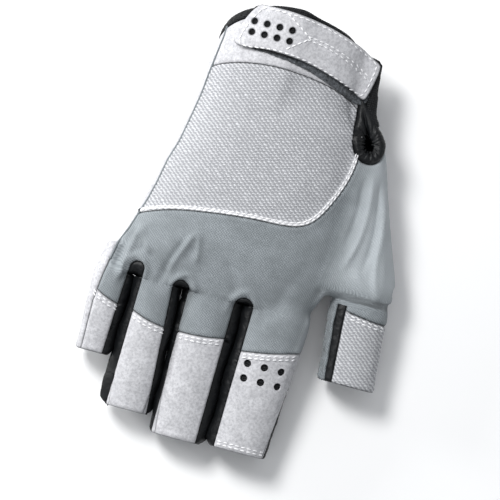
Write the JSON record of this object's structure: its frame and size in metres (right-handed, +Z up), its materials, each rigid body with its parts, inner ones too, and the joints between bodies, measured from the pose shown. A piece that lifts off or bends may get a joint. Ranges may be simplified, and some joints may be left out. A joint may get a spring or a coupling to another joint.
{
  "type": "half-finger sailing glove",
  "caption": "Right-hand half-finger glove of knit, stretch cloth and suede, with open finger ends and a hook-and-loop wrist strap.",
  "frame": {"origin": "centre of the palm grip pad's flat underside, on the surface the glove lies on", "axes": "+Z up out of the back of the hand, +Y from the fingers to the wrist, +X towards the thumb"},
  "size_m": [0.1296, 0.1875, 0.0456],
  "materials": {
    "knit": "coarse light grey knit with a raised weave",
    "stretch": "fine mid grey stretch twill",
    "suede": "light grey synthetic suede",
    "black_tape": "black stretch binding, ribbed",
    "black_side": "black stretch side cloth",
    "hook_loop": "black hook and loop fastener",
    "lining": "black brushed lining",
    "grip": "grey grip leather, pebbled"
  },
  "bodies": {
    "hand": {"back_knit_panel": "knit", "knuckle_stretch_panel": "stretch", "wrist_band": "suede", "palm_leather": "suede", "cuff_binding": "black_tape", "slit_binding": "black_tape", "cuff_lining": "lining", "wrist_elastic": "lining", "loop_patch": "hook_loop", "strap_anchor_tape": "black_tape", "palm_grip_pad": "grip", "heel_grip_pad": "grip", "side_piping": "stretch", "thumb_saddle_patch": "grip", "little_ring_web": "black_side", "ring_middle_web": "black_side", "middle_index_web": "black_side", "little_base_sleeve": "stretch", "ring_base_sleeve": "stretch", "middle_base_sleeve": "stretch", "index_base_sleeve": "stretch", "thumb_base_sleeve": "stretch"},
    "strap": {"strap_tab": "suede", "hook_patch": "hook_loop"},
    "little": {"little_back": "stretch", "little_cuff": "suede", "little_palm": "suede", "little_outer_side": "suede", "little_inner_side": "black_side", "little_grip": "grip"},
    "ring": {"ring_back": "stretch", "ring_cuff": "suede", "ring_palm": "suede", "ring_outer_side": "black_side", "ring_inner_side": "black_side", "ring_grip": "grip"},
    "middle": {"middle_back": "stretch", "middle_cuff": "suede", "middle_palm": "suede", "middle_outer_side": "black_side", "middle_inner_side": "black_side", "middle_grip": "grip"},
    "index": {"index_back": "stretch", "index_cuff": "suede", "index_palm": "suede", "index_outer_side": "black_side", "index_inner_side": "black_side", "index_grip": "grip", "index_vent_backing": "lining"},
    "thumb": {"thumb_back": "stretch", "thumb_cuff": "knit", "thumb_palm": "suede", "thumb_outer_side": "stretch", "thumb_inner_side": "black_side", "thumb_grip": "grip"}
  },
  "joints": [
    {"name": "little_flex", "type": "hinge", "parent": "hand", "child": "little", "pos_m": [-0.051, -0.047, 0.017], "axis": [1, 0, 0], "range_deg": [-15, 70], "stiffness_Nm_per_rad": 0.03, "deforming": ["little_base_sleeve"]},
    {"name": "ring_flex", "type": "hinge", "parent": "hand", "child": "ring", "pos_m": [-0.031, -0.047, 0.017], "axis": [1, 0, 0], "range_deg": [-15, 70], "stiffness_Nm_per_rad": 0.03, "deforming": ["ring_base_sleeve"]},
    {"name": "middle_flex", "type": "hinge", "parent": "hand", "child": "middle", "pos_m": [-0.00725, -0.047, 0.017], "axis": [1, 0, 0], "range_deg": [-15, 70], "stiffness_Nm_per_rad": 0.03, "deforming": ["middle_base_sleeve"]},
    {"name": "index_flex", "type": "hinge", "parent": "hand", "child": "index", "pos_m": [0.0212, -0.047, 0.017], "axis": [1, 0, 0], "range_deg": [-15, 70], "stiffness_Nm_per_rad": 0.03, "deforming": ["index_base_sleeve"]},
    {"name": "thumb_flex", "type": "hinge", "parent": "hand", "child": "thumb", "pos_m": [0.0536, -0.036, 0.0132], "axis": [1, 0, 0], "range_deg": [-10, 45], "stiffness_Nm_per_rad": 0.03, "deforming": ["thumb_base_sleeve"]},
    {"name": "strap_peel", "type": "hinge", "parent": "hand", "child": "strap", "pos_m": [0.038, 0.055, 0.0253], "axis": [0, 1, 0], "range_deg": [0, 140]}
  ]
}
